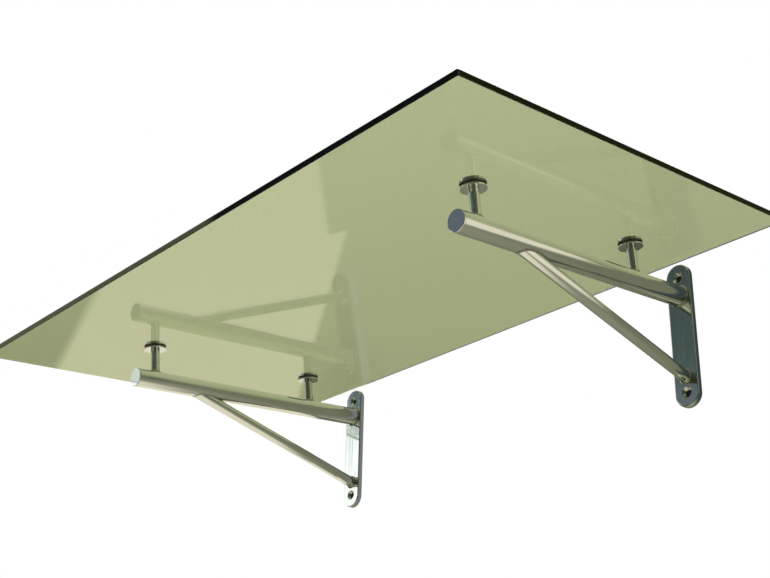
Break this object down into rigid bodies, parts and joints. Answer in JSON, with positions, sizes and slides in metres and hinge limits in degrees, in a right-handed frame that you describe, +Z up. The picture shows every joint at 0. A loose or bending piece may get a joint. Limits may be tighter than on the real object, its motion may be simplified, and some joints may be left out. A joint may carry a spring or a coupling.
{
  "type": "glass door canopy",
  "caption": "Sloping rectangular glass pane that shelters a door, point fixed by disc clamps on braced tube brackets with round-ended wall plates.",
  "frame": {"origin": "on the wall surface, midway between the brackets, level with the arm axes where they meet the wall plates", "axes": "+Z up, +Y into the wall, so the canopy reaches out from the wall along -Y; +X along the wall, to the right for someone who faces the door"},
  "size_m": [1.5, 0.9003, 0.329],
  "materials": {
    "tinted_glass": "clear toughened float glass with an olive tint and polished, chamfered edges",
    "polished_steel": "mirror-polished stainless steel with faint polishing lines along the tubes",
    "black_rubber": "matt black rubber gasket",
    "clear_nylon": "smooth off-white nylon sleeve"
  },
  "bodies": {
    "root": {"glass_pane": "tinted_glass", "left_wall_plate": "polished_steel", "left_arm_tube": "polished_steel", "left_arm_end_cap": "polished_steel", "left_brace_tube": "polished_steel", "left_arm_weld": "polished_steel", "left_brace_foot_weld": "polished_steel", "left_brace_top_weld": "polished_steel", "left_front_post": "polished_steel", "left_front_post_weld": "polished_steel", "left_front_lower_disc": "polished_steel", "left_front_upper_disc": "polished_steel", "left_front_clamp_bolt": "polished_steel", "left_front_lower_gasket": "black_rubber", "left_front_upper_gasket": "black_rubber", "left_front_hole_sleeve": "clear_nylon", "left_rear_post": "polished_steel", "left_rear_post_weld": "polished_steel", "left_rear_lower_disc": "polished_steel", "left_rear_upper_disc": "polished_steel", "left_rear_clamp_bolt": "polished_steel", "left_rear_lower_gasket": "black_rubber", "left_rear_upper_gasket": "black_rubber", "left_rear_hole_sleeve": "clear_nylon", "right_wall_plate": "polished_steel", "right_arm_tube": "polished_steel", "right_arm_end_cap": "polished_steel", "right_brace_tube": "polished_steel", "right_arm_weld": "polished_steel", "right_brace_foot_weld": "polished_steel", "right_brace_top_weld": "polished_steel", "right_front_post": "polished_steel", "right_front_post_weld": "polished_steel", "right_front_lower_disc": "polished_steel", "right_front_upper_disc": "polished_steel", "right_front_clamp_bolt": "polished_steel", "right_front_lower_gasket": "black_rubber", "right_front_upper_gasket": "black_rubber", "right_front_hole_sleeve": "clear_nylon", "right_rear_post": "polished_steel", "right_rear_post_weld": "polished_steel", "right_rear_lower_disc": "polished_steel", "right_rear_upper_disc": "polished_steel", "right_rear_clamp_bolt": "polished_steel", "right_rear_lower_gasket": "black_rubber", "right_rear_upper_gasket": "black_rubber", "right_rear_hole_sleeve": "clear_nylon"}
  },
  "joints": []
}
